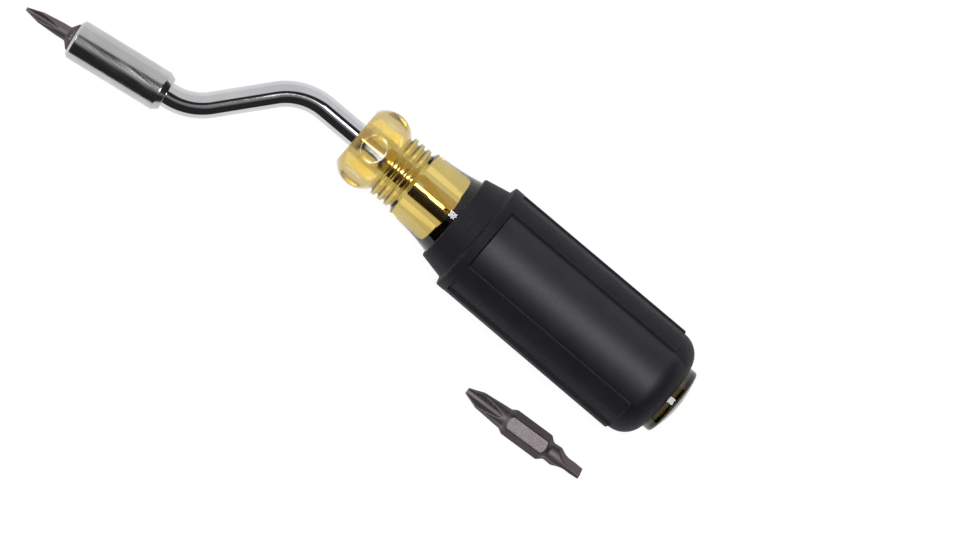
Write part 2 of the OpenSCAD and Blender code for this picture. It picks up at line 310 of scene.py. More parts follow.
@dataclass
class Outline:
    """An outline to be turned: stations along +X and radii in millimetres, with rounded corners."""

    corners: list[tuple[float, float, float]] = field(default_factory=list)
    plain: set[int] = field(default_factory=set)

    def corner(self, station: float, radius: float, rounding: float = 0.0) -> "Outline":
        """Adds a corner by its place along the axis, its distance from it and the radius of its rounding."""
        self.corners.append((station, radius, rounding))
        return self

    def run(self, station: float, radius: float) -> "Outline":
        """Adds a corner at the end of a plain stretch, which needs few rows on its way."""
        self.plain.add(len(self.corners))
        return self.corner(station, radius)

    def arc(self, centre: Pair, radius: float, start: float, end: float) -> "Outline":
        """Adds an arc about a centre.

        Args:
            centre: The centre's station and radius.
            radius: The arc's own radius.
            start: The angle it starts at, in degrees from the axis towards larger radii.
            end: The angle it ends at.

        Returns:
            The outline itself.
        """
        finer = max(1.0, radius / WIDE_ARC)
        steps = max(2, math.ceil(abs(math.radians(end - start)) / ARC_STEP * finer))
        for place in range(steps + 1):
            angle = math.radians(start + (end - start) * place / steps)
            self.corner(centre[0] + radius * math.cos(angle), centre[1] + radius * math.sin(angle))
        return self

    def bend(self, place: int) -> list[Vector]:
        """Gives the points of one corner, rounded where it asks for that.

        Args:
            place: Which corner.

        Returns:
            The corner's points in order.
        """
        station, radius, rounding = self.corners[place]
        here = Vector((station, radius, 0.0))
        if rounding <= 0.0 or place in (0, len(self.corners) - 1):
            return [here]
        back = (Vector((*self.corners[place - 1][:2], 0.0)) - here).normalized()
        ahead = (Vector((*self.corners[place + 1][:2], 0.0)) - here).normalized()
        half = back.angle(ahead) / 2
        centre = here + (back + ahead).normalized() * rounding / math.sin(half)
        start = here + back * rounding / math.tan(half) - centre
        end = here + ahead * rounding / math.tan(half) - centre
        sweep = start.angle(end)
        steps = max(2, math.ceil(sweep / ARC_STEP))
        turn = sweep if start.cross(end).z > 0 else -sweep
        turns = [Matrix.Rotation(turn * step / steps, 3, "Z") for step in range(steps + 1)]
        return [centre + rotation @ start for rotation in turns]

    def trace(self, spacing: float) -> list[Vector]:
        """Gives the outline's points, with straight stretches filled in.

        Args:
            spacing: The longest step along a straight stretch.

        Returns:
            The points in order.
        """
        points = self.bend(0)
        for place in range(1, len(self.corners)):
            longest = spacing * PLAIN_STEP if place in self.plain else spacing
            for point in self.bend(place):
                start = points[-1]
                steps = max(1, math.ceil((point - start).length / longest - HAIR))
                points += [start.lerp(point, step / steps) for step in range(1, steps + 1)]
        return points


@dataclass(frozen=True)
class TurnedPoint:
    """What a rule knows of a point on a turned outline: its tree, the sizes given to that, and its place."""

    make: NodeMaker
    sizes: bpy.types.NodeOutputs
    station: Socket
    radius: Socket
    angle: Socket

    def hexagon(self, flat: Socket) -> Socket:
        """Gives the radius of a hex with one flat facing up, from the distance of its flats."""
        turn = self.make.math("WRAP", self.angle, math.pi / 6, -math.pi / 6)
        return self.make.math("DIVIDE", flat, self.make.math("COSINE", turn))

    def circle(self, radius: Socket, off: Socket) -> Socket:
        """Gives the height of a circle at some distance from its centre, nought outside it.

        Args:
            radius: The circle's radius.
            off: The distance from its centre.

        Returns:
            The height's socket.
        """
        calc = self.make.math
        square = calc("SUBTRACT", calc("MULTIPLY", radius, radius), calc("MULTIPLY", off, off))
        return calc("SQRT", calc("MAXIMUM", square, 0.0))


class Turned(ABC):
    """A piece that is turned round +X from its outline and then shaped round its axis by a rule."""

    name: str
    node: str
    body: Body
    slot: Slot
    columns: int
    spacing: float

    @abstractmethod
    def outline(self) -> Outline:
        """Gives the outline to turn."""

    @abstractmethod
    def inputs(self) -> dict[str, float]:
        """Gives the sizes that the rule reads, in metres and radians."""

    @abstractmethod
    def rule(self, at: TurnedPoint) -> Socket:
        """Gives the radius at a point."""

    def settle(self, mesh: bpy.types.Mesh) -> None:
        """Puts the turned mesh in its place, for a piece that isn't turned there."""

    def lathe_tree(self, names: Sequence[str]) -> bpy.types.NodeTree:
        """Makes the geometry tree that turns the outline and shapes each radius.

        Args:
            names: The names of the sizes that the rule reads.

        Returns:
            The tree.
        """
        make = NodeMaker(bpy.data.node_groups.new(self.name + "_form", "GeometryNodeTree"))
        kinds = {"Outline": "Geometry", "Columns": "Int", "Finish": "Material"}
        kinds |= dict.fromkeys(names, "Float")
        sizes = make.begin(kinds, {"Turned": "Geometry"})
        outline, columns = sizes["Outline"], sizes["Columns"]
        rows = make.add("GeometryNodeAttributeDomainSize", {"Geometry": outline}).outputs["Point Count"]
        across = make.add("FunctionNodeIntegerMath", {0: columns, 1: 1}, operation="ADD").outputs[0]
        grid = make.add("GeometryNodeMeshGrid", {"Vertices X": rows, "Vertices Y": across}).outputs["Mesh"]
        index = make.add("GeometryNodeInputIndex", {}).outputs[0]
        row = make.add("FunctionNodeIntegerMath", {0: index, 1: across}, operation="DIVIDE_FLOOR").outputs[0]
        column = make.add("FunctionNodeIntegerMath", {0: index, 1: across}, operation="MODULO").outputs[0]
        place = make.add("GeometryNodeInputPosition", {}).outputs[0]
        feeds = {"Geometry": outline, "Value": place, "Index": row}
        point = make.split(make.add("GeometryNodeSampleIndex", feeds, data_type="FLOAT_VECTOR").outputs[0])
        angle = make.math("MULTIPLY", make.math("DIVIDE", column, columns), math.tau)
        radius = self.rule(TurnedPoint(make, sizes, point["X"], point["Y"], angle))
        side = make.math("MULTIPLY", radius, make.math("SINE", angle))
        height = make.math("MULTIPLY", radius, make.math("COSINE", angle))
        spot = make.add("ShaderNodeCombineXYZ", {"X": point["X"], "Y": side, "Z": height}).outputs[0]
        turned = make.add("GeometryNodeSetPosition", {"Geometry": grid, "Position": spot}).outputs[0]
        joined = make.add("GeometryNodeMergeByDistance", {"Geometry": turned, "Distance": WELD}).outputs[0]
        end_tree(make, joined, sizes["Finish"])
        return make.tree

    def build(self, material: bpy.types.Material) -> None:
        """Makes the piece, dresses it and ties it to its body.

        Args:
            material: The piece's finish.
        """
        sizes = self.inputs()
        piece = line_piece(self.name, self.outline().trace(self.spacing))
        grow(piece, self.lathe_tree(list(sizes)), {"Columns": self.columns, "Finish": material, **sizes})
        self.settle(piece.data)
        stand_for(piece, self.node, self.body)


def shader_group(
    name: str, inputs: Sequence[str], outputs: Sequence[str]
) -> tuple[NodeMaker, bpy.types.NodeOutputs]:
    """Starts a shader node group with number sockets, and gives its maker and its inputs."""
    make = NodeMaker(bpy.data.node_groups.new(name, "ShaderNodeTree"))
    return make, make.begin(dict.fromkeys(inputs, "Float"), dict.fromkeys(outputs, "Float"))


class SurfaceEffects:
    """The shader groups that several finishes share. A span gives the noise that a change runs over."""

    mottle_span: Pair = (0.32, 0.68)
    patch_span: Pair = (0.3, 0.62)
    patch_levels: Pair = (0.35, 1.0)
    area_span: Pair = (0.45, 0.65)
    area_scale: float = 0.13

    def __init__(self) -> None:
        """Builds the three groups."""
        self.grain = self.build_grain()
        self.wear = self.build_wear()
        self.specks = self.build_specks()

    def build_grain(self) -> bpy.types.NodeTree:
        """Makes the group of a fine grain and a broad mottle.

        Returns:
            The group.
        """
        make, given = shader_group("surface_grain", ("Grain Scale", "Mottle Scale"), ("Grain", "Mottle"))
        place = make.where()
        grain = make.noise(place, given["Grain Scale"], detail=3.0, roughness=0.55)
        mottle = make.noise(place, given["Mottle Scale"], detail=4.0, roughness=0.6)
        make.add("NodeGroupOutput", {0: grain, 1: make.ramp(mottle, *self.mottle_span, 0.0, 1.0)})
        return make.tree

    def build_wear(self) -> bpy.types.NodeTree:
        """Makes the group of wear along outer edges, broken up by noise.

        Returns:
            The group.
        """
        make, given = shader_group("edge_wear", ("Edge Start", "Edge Full", "Patch Scale"), ("Wear",))
        point = make.add("ShaderNodeNewGeometry", {}).outputs["Pointiness"]
        edge = make.ramp(point, given["Edge Start"], given["Edge Full"], 0.0, 1.0)
        patch = make.noise(make.where(), given["Patch Scale"], detail=4.0)
        broken = make.ramp(patch, *self.patch_span, *self.patch_levels)
        make.add("NodeGroupOutput", {0: make.product(edge, broken)})
        return make.tree

    def build_specks(self) -> bpy.types.NodeTree:
        """Makes the group of small specks, scattered over some areas.

        Returns:
            The group.
        """
        make, given = shader_group("fine_specks", ("Speck Scale", "Speck Size"), ("Specks",))
        place, scale = make.where(), given["Speck Scale"]
        feeds = {"Vector": place, "Scale": scale, "Randomness": 1.0}
        far = make.add("ShaderNodeTexVoronoi", feeds).outputs["Distance"]
        dots = make.ramp(far, 0.0, given["Speck Size"], 1.0, 0.0)
        area = make.noise(place, make.product(scale, self.area_scale))
        make.add("NodeGroupOutput", {0: make.product(dots, make.ramp(area, *self.area_span, 0.0, 1.0))})
        return make.tree


class Finish:
    """A material in the making: a Principled shader and the nodes that feed it."""

    def __init__(self, slot: Slot) -> None:
        """Starts the material.

        Args:
            slot: The record's slot, which gives the material its name.
        """
        self.material = bpy.data.materials.new(slot.value)
        self.material.use_nodes = True
        tree = self.material.node_tree
        self.make = NodeMaker(tree)
        self.shader = tree.nodes["Principled BSDF"]
        self.output = tree.nodes["Material Output"]

    def place(self, group: bpy.types.NodeTree, **values: float) -> bpy.types.NodeOutputs:
        """Places a shared effect in the material.

        Args:
            group: The effect's node group.
            **values: Its inputs, named in lower case with underscores.

        Returns:
            The effect's outputs.
        """
        node = self.make.add("ShaderNodeGroup", {}, node_tree=group)
        for name, value in values.items():
            node.inputs[name.replace("_", " ").title()].default_value = value
        return node.outputs

    def set(self, **values: Any) -> None:
        """Feeds the Principled shader.

        Args:
            **values: Its inputs, named in lower case with underscores.
        """
        for name, value in values.items():
            label = name.replace("_", " ").title().replace("Ior", "IOR")
            self.make.feed(self.shader.inputs[label], value)

    def bump(self, height: Socket, distance: float, strength: float) -> None:
        """Feeds the shader's normal from a height, whose full step is a distance in metres."""
        feeds = {"Height": height, "Distance": distance, "Strength": strength}
        self.set(normal=self.make.add("ShaderNodeBump", feeds).outputs["Normal"])

    def stretched(self, scale: Place, turn: float, detail: float) -> Socket:
        """Gives noise drawn out into fine lines.

        Args:
            scale: The noise's scale along each axis.
            turn: The turn of those axes about +Z, in degrees.
            detail: The noise's detail.

        Returns:
            The noise's socket.
        """
        feeds = {"Vector": self.make.where(), "Rotation": (0.0, 0.0, -math.radians(turn)), "Scale": scale}
        mapped = self.make.add("ShaderNodeMapping", feeds).outputs[0]
        return self.make.noise(mapped, 1.0, detail)


@dataclass(frozen=True)
class AcetateFinish:
    """Clear amber plastic: buffed skirt, hazy rings and knob, and a butt darkened with painted shade. Fades
    in mm along the core.
    """

    tint: Colour = (0.910, 0.745, 0.345)
    knob_tint: Colour = (0.905, 0.715, 0.285)
    shade: float = 0.985
    # Painted shade: the dark tint of the butt, and the two fades that bound it.
    butt_shade: Colour = (0.068, 0.064, 0.054)
    butt_shade_front: Pair = (5.5, 7.5)
    butt_shade_rear: Pair = (0.3, 1.1)
    buffed: Pair = (0.008, 0.03)
    buffed_span: Pair = (0.35, 0.7)
    scuffed: Pair = (0.0, 0.05)
    scuffed_span: Pair = (0.62, 0.8)
    scuff_scale: Place = (180.0, 2600.0, 2600.0)
    ring_ends: Pair = (103.8, 105.8)
    ring_rough: float = 0.06
    knob_ends: Pair = (112.5, 114.0)
    knob_rough: float = 0.10
    skin: float = 0.6
    skin_rough: float = 0.04
    deep: Colour = (0.966, 0.927, 0.70)
    density: float = 100.0
    ior: float = 1.47

    def build(self, effects: SurfaceEffects) -> bpy.types.Material:
        """Makes the material.

        Args:
            effects: The shared shader groups.

        Returns:
            The material.
        """
        finish = Finish(Slot.ACETATE)
        make = finish.make
        grain = finish.place(effects.grain, grain_scale=900.0, mottle_scale=60.0)
        scuffs = finish.stretched(self.scuff_scale, turn=0.0, detail=3.0)
        rough = make.ramp(grain["Grain"], *self.buffed_span, *self.buffed)
        rough = make.math("ADD", rough, make.ramp(scuffs, *self.scuffed_span, *self.scuffed))
        station = make.split(make.where())["X"]
        ring = make.fade(station, self.ring_ends)
        knob = make.fade(station, self.knob_ends)
        rough = make.math("MULTIPLY_ADD", ring, self.ring_rough, rough)
        rough = make.math("MULTIPLY_ADD", knob, self.knob_rough, rough)
        clear = make.mix(grain["Mottle"], self.tint, tuple(self.shade * part for part in self.tint))
        clear = make.mix(ring, clear, self.knob_tint)
        # Painted shade: the clear tint turns dark over the butt, between its two fades.
        front = make.fade(station, self.butt_shade_front, (1.0, 0.0))
        butt_shaded = make.product(make.fade(station, self.butt_shade_rear), front)
        finish.set(base_color=make.mix(butt_shaded, clear, self.butt_shade), roughness=rough)
        finish.set(ior=self.ior, transmission_weight=1.0)
        finish.set(coat_weight=make.product(knob, self.skin), coat_roughness=self.skin_rough)
        finish.bump(grain["Mottle"], distance=0.00002, strength=0.25)
        depth = make.add("ShaderNodeVolumeAbsorption", {"Color": (*self.deep, 1.0), "Density": self.density})
        make.feed(finish.output.inputs["Volume"], depth.outputs[0])
        return finish.material


@dataclass(frozen=True)
class RubberFinish:
    """Matte black moulded rubber with a fine grain and two smoother panels. In mm and degrees."""

    dark: Colour = (0.0050, 0.0046, 0.0084)
    pale: Colour = (0.0092, 0.0082, 0.0124)
    rubbed: Colour = (0.038, 0.034, 0.040)
    dust: float = 0.5
    # Painted shade: the near black of the bore's wall, and the radii over which it fades.
    bore_shade: Colour = (0.0006, 0.0006, 0.0006)
    bore_shade_ends: Pair = (13.6, 13.8)
    gloss: float = 0.34
    sheen_tint: Colour = (0.94, 0.91, 1.0)
    grain_span: Pair = (0.3, 0.7)
    matt: Pair = (0.56, 0.76)
    smooth: Pair = (0.46, 0.58)
    panel_coat: float = 0.55
    panel_coat_rough: float = 0.48
    panel_sides: Pair = (31.0, 33.0)
    panel_rear: Pair = (5.0, 13.0)
    panel_front: float = 76.0

    def build(self, effects: SurfaceEffects) -> bpy.types.Material:
        """Makes the material.

        Args:
            effects: The shared shader groups.

        Returns:
            The material.
        """
        finish = Finish(Slot.RUBBER)
        make = finish.make
        grain = finish.place(effects.grain, grain_scale=2600.0, mottle_scale=140.0)
        wear = finish.place(effects.wear, edge_start=0.508, edge_full=0.57, patch_scale=300.0)
        specks = finish.place(effects.specks, speck_scale=900.0, speck_size=0.16)
        colour = make.mix(grain["Mottle"], self.dark, self.pale)
        colour = make.mix(wear["Wear"], colour, self.rubbed)
        colour = make.mix(make.product(specks["Specks"], self.dust), colour, self.rubbed)
        # Painted shade: the wall of the bore is painted near black.
        colour = make.mix(self.bore_shade_mask(make), colour, self.bore_shade)
        matt = make.ramp(grain["Grain"], *self.grain_span, *self.matt)
        smooth = make.ramp(grain["Grain"], *self.grain_span, *self.smooth)
        panel = self.panel_mask(make)
        finish.set(base_color=colour, roughness=make.choose(panel, matt, smooth))
        finish.set(specular_ior_level=self.gloss, specular_tint=(*self.sheen_tint, 1.0))
        finish.set(coat_weight=make.product(panel, self.panel_coat), coat_roughness=self.panel_coat_rough)
        finish.bump(grain["Grain"], distance=0.00006, strength=0.35)
        return finish.material

    def panel_mask(self, make: NodeMaker) -> Socket:
        """Finds the two smooth panels between the pads.

        Args:
            make: The material's maker.

        Returns:
            One on the panels, nought elsewhere.
        """
        parts = make.split(make.where())
        angle = make.math("DEGREES", make.math("ARCTAN2", parts["Y"], parts["Z"]))
        off = make.math("WRAP", make.math("SUBTRACT", angle, PANEL_TURN), 90.0, -90.0)
        across = make.ramp(make.math("ABSOLUTE", off), *self.panel_sides, 1.0, 0.0)
        front = make.math("LESS_THAN", parts["X"], self.panel_front * MM)
        return make.product(across, make.fade(parts["X"], self.panel_rear), front)

    def bore_shade_mask(self, make: NodeMaker) -> Socket:
        """Finds the wall of the bore, which is painted near black as painted shade.

        Args:
            make: The material's maker.

        Returns:
            One in the bore, nought outside.
        """
        parts = make.split(make.where())
        side = make.math("MULTIPLY", parts["Y"], parts["Y"])
        radius = make.math("SQRT", make.math("MULTIPLY_ADD", parts["Z"], parts["Z"], side))
        return make.fade(radius, self.bore_shade_ends, (1.0, 0.0))


@dataclass(frozen=True)
class PlatedFinish:
    """Bright plating with faint drawn lines, on the shaft and on the bit holder."""

    slot: Slot
    bright: Colour
    dull: Colour
    polish: Pair
    turn: float
    line_scale: Place = (60.0, 3200.0, 3200.0)
    line_span: Pair = (0.35, 0.75)
    wear_share: float = 0.6
    mottle_rough: float = 0.02

    def build(self, effects: SurfaceEffects) -> bpy.types.Material:
        """Makes the material.

        Args:
            effects: The shared shader groups.

        Returns:
            The material.
        """
        finish = Finish(self.slot)
        make = finish.make
        grain = finish.place(effects.grain, grain_scale=1800.0, mottle_scale=55.0)
        wear = finish.place(effects.wear, edge_start=0.53, edge_full=0.64, patch_scale=500.0)
        lines = finish.stretched(self.line_scale, self.turn, detail=4.0)
        colour = make.mix(grain["Mottle"], self.bright, self.dull)
        colour = make.mix(make.product(wear["Wear"], self.wear_share), colour, self.bright)
        drawn = make.ramp(lines, *self.line_span, *self.polish)
        rough = make.math("MULTIPLY_ADD", grain["Mottle"], self.mottle_rough, drawn)
        finish.set(base_color=colour, metallic=1.0, roughness=rough)
        finish.bump(lines, distance=0.000001, strength=0.2)
        return finish.material


SHAFT_PLATING = PlatedFinish(Slot.SHAFT, (0.62, 0.605, 0.63), (0.57, 0.555, 0.58), (0.03, 0.08), 0.0)
HOLDER_PLATING = PlatedFinish(Slot.HOLDER, (0.58, 0.57, 0.58), (0.48, 0.47, 0.48), (0.12, 0.26), TIP_TURN)


@dataclass(frozen=True)
class BitSteelFinish:
    """Dark hardened steel with a drawn hex and duller worked ends; its edges are painted bright, partly as
    worn steel and partly as painted highlight.
    """

    body: Colour = (0.090, 0.078, 0.083)
    scale: Colour = (0.076, 0.065, 0.070)
    worked: Colour = (0.172, 0.148, 0.157)
    # Bright steel for the specks and the edges; on the edges it is partly worn steel, partly painted
    # highlight.
    ground_and_edge_highlight: Colour = (0.36, 0.33, 0.34)
    speck_share: float = 0.1
    edge_tint: Colour = (0.50, 0.43, 0.47)
    metal: float = 0.85
    grain_span: Pair = (0.3, 0.72)
    drawn_rough: Pair = (0.31, 0.38)
    worked_more: float = 0.19

    def build(self, effects: SurfaceEffects) -> bpy.types.Material:
        """Makes the material.

        Args:
            effects: The shared shader groups.

        Returns:
            The material.
        """
        finish = Finish(Slot.BIT)
        make = finish.make
        grain = finish.place(effects.grain, grain_scale=2200.0, mottle_scale=260.0)
        wear = finish.place(effects.wear, edge_start=0.508, edge_full=0.56, patch_scale=700.0)
        specks = finish.place(effects.specks, speck_scale=1500.0, speck_size=0.24)
        worked = make.add("ShaderNodeAttribute", {}, attribute_name=WORKED).outputs["Fac"]
        colour = make.mix(grain["Mottle"], self.body, self.scale)
        colour = make.mix(worked, colour, self.worked)
        colour = make.mix(make.product(specks["Specks"], self.speck_share), colour, self.ground_and_edge_highlight)
        # The outer edges are painted bright: partly worn steel, partly a painted highlight along the rims.
        colour = make.mix(wear["Wear"], colour, self.ground_and_edge_highlight)
        drawn = make.ramp(grain["Grain"], *self.grain_span, *self.drawn_rough)
        rough = make.math("MULTIPLY_ADD", worked, self.worked_more, drawn)
        finish.set(base_color=colour, metallic=self.metal, roughness=rough)
        finish.set(specular_tint=(*self.edge_tint, 1.0))
        finish.bump(grain["Grain"], distance=0.00002, strength=0.1)
        return finish.material


@dataclass(frozen=True)
class WireFinish:
    """Grey spring wire."""

    bright: Colour = (0.52, 0.51, 0.5)
    dull: Colour = (0.34, 0.33, 0.33)
    grain_span: Pair = (0.3, 0.7)
    rough: Pair = (0.22, 0.4)

    def build(self, effects: SurfaceEffects) -> bpy.types.Material:
        """Makes the material.

        Args:
            effects: The shared shader groups.

        Returns:
            The material.
        """
        finish = Finish(Slot.WIRE)
        grain = finish.place(effects.grain, grain_scale=5200.0, mottle_scale=700.0)
        colour = finish.make.mix(grain["Mottle"], self.bright, self.dull)
        rough = finish.make.ramp(grain["Grain"], *self.grain_span, *self.rough)
        finish.set(base_color=colour, metallic=1.0, roughness=rough)
        return finish.material


@dataclass
class HandleCore(Turned):
    """The moulded core: knob with flutes, neck rings, flared skirt, bore and butt. Sizes in mm."""

    name: str = "amber_core"
    node: str = "handle_core"
    body: Body = Body.DRIVER
    slot: Slot = Slot.ACETATE
    length: float = 126.3
    knob_d: float = 26.2
    knob_len: float = 13.1
    crest_r: float = 8.0
    face_edge: float = 0.5
    flute_count: int = 6
    flute_r: float = 14.0
    flute_floor_d: float = 23.6
    flute_blend: float = 1.0
    neck_d: float = 19.0
    neck_len: float = 0.5
    ring_count: int = 3
    ring_pitch: float = 2.5
    ring_d: float = 21.4
    ring_front: float = 0.4
    ring_top: float = 1.2
    ring_rear: float = 0.4
    groove_d: float = 19.4
    ring_edge: float = 0.4
    groove_edge: float = 0.18
    skirt_d: float = 23.0
    skirt_chamfer: float = 1.2
    skirt_edge: float = 0.6
    skirt_len: float = 16.9
    core_d: float = 27.0
    butt_d: float = 22.7
    butt_dome: float = 1.8
    butt_flat_d: float = 8.0
    butt_edge: float = 0.8
    bore_d: float = 7.98
    bore_len: float = 72.0
    bore_edge: float = 0.25
    shoulder_front: float = 9.65
    shoulder_rear: float = 7.5
    shoulder_edge: float = 0.3
    columns: int = 264
    spacing: float = 0.6

    def outline(self) -> Outline:
        """Gives the outline from the centre of the butt to the bottom of the bore.

        Returns:
            The outline.
        """
        shape = Outline().corner(0.0, 0.0)
        self.add_butt(shape)
        self.add_skirt(shape)
        self.add_rings(shape)
        self.add_knob(shape)
        shape.corner(self.length, self.bore_d / 2, self.bore_edge)
        shape.run(self.length - self.bore_len, self.bore_d / 2)
        return shape.corner(self.length - self.bore_len, 0.0)

    def add_butt(self, shape: Outline) -> None:
        """Adds the butt with its domed end and the shoulder inside the grip.

        Args:
            shape: The outline so far.
        """
        flat, rim, rise = self.butt_flat_d / 2, self.butt_d / 2, self.butt_dome
        depth = (rim * rim - flat * flat + rise * rise) / (2 * rise)
        dome_r = math.hypot(flat, depth)
        first, last = (math.degrees(math.asin(part / dome_r)) for part in (flat, rim - self.butt_edge))
        shape.arc((depth, 0.0), dome_r, 180.0 - first, 180.0 - last)
        shape.corner(rise, rim, self.butt_edge)
        shape.corner(self.shoulder_rear, rim)
        shape.corner(self.shoulder_front, self.core_d / 2, self.shoulder_edge)

    def add_skirt(self, shape: Outline) -> None:
        """Adds the flared skirt from the grip to the rings.

        Args:
            shape: The outline so far.
        """
        skirt_at = self.length - self.knob_len - self.neck_len - self.ring_count * self.ring_pitch
        flare_at = skirt_at - self.skirt_chamfer
        grip_at = skirt_at - self.skirt_len
        run, rise = flare_at - grip_at, (self.core_d - self.skirt_d) / 2
        flare_r = (run * run + rise * rise) / (2 * rise)
        centre = (flare_at, self.skirt_d / 2 + flare_r)
        first = 270.0 - math.degrees(math.asin(run / flare_r))
        last = 270.0 - math.degrees(self.skirt_edge / flare_r)
        shape.run(grip_at - self.skirt_edge, self.core_d / 2)
        shape.arc(centre, flare_r, first, first + CRISP)
        shape.arc(centre, flare_r, first + 2 * CRISP, last)
        shape.corner(flare_at, self.skirt_d / 2, self.skirt_edge)
        shape.corner(skirt_at, self.groove_d / 2, self.groove_edge)

    def add_rings(self, shape: Outline) -> None:
        """Adds the rings of the neck, with round tops.

        Args:
            shape: The outline so far.
        """
        first = self.length - self.knob_len - self.neck_len
        for ring in reversed(range(self.ring_count)):
            front = first - ring * self.ring_pitch
            top = front - self.ring_front
            shape.corner(top - self.ring_top - self.ring_rear, self.groove_d / 2, self.groove_edge)
            shape.corner(top - self.ring_top, self.ring_d / 2, self.ring_edge)
            shape.corner(top, self.ring_d / 2, self.ring_edge)
            shape.corner(front, self.groove_d / 2 if ring else self.neck_d / 2, self.groove_edge)

    def add_knob(self, shape: Outline) -> None:
        """Adds the knob, a round back between two flat faces.

        Args:
            shape: The outline so far.
        """
        half, centre_r = self.knob_len / 2, self.knob_d / 2 - self.crest_r
        lean = math.acos(half / self.crest_r)
        first, last = 180.0 - math.degrees(lean), math.degrees(lean + self.face_edge / self.crest_r)
        shape.corner(self.length - self.knob_len, self.neck_d / 2)
        shape.arc((self.length - half, centre_r), self.crest_r, first, last)
        shape.corner(self.length, centre_r + self.crest_r * math.sin(lean), self.face_edge)

    def inputs(self) -> dict[str, float]:
        """Gives the sizes of the knob's flutes.

        Returns:
            The sizes by name.
        """
        return {
            "Flute Count": float(self.flute_count),
            "Flute Radius": self.flute_r * MM,
            "Flute Floor": self.flute_floor_d / 2 * MM,
            "Flute Blend": self.flute_blend * MM,
            "Knob Start": (self.length - self.knob_len - self.neck_len / 2) * MM,
        }

    def rule(self, at: TurnedPoint) -> Socket:
        """Cuts round flutes into the knob.

        Args:
            at: The point.

        Returns:
            The radius with the flutes.
        """
        calc, sizes = at.make.math, at.sizes
        half = calc("DIVIDE", math.pi, sizes["Flute Count"])
        offset = calc("WRAP", at.angle, half, calc("MULTIPLY", half, -1.0))
        reach = calc("ADD", sizes["Flute Floor"], sizes["Flute Radius"])
        near = calc("MULTIPLY", reach, calc("COSINE", offset))
        away = calc("MULTIPLY", reach, calc("SINE", offset))
        cut = calc("SUBTRACT", near, at.circle(sizes["Flute Radius"], away))
        fluted = calc("SMOOTH_MIN", at.radius, cut, sizes["Flute Blend"])
        knob = calc("GREATER_THAN", at.station, sizes["Knob Start"])
        return calc("MULTIPLY_ADD", calc("SUBTRACT", fluted, at.radius), knob, at.radius)


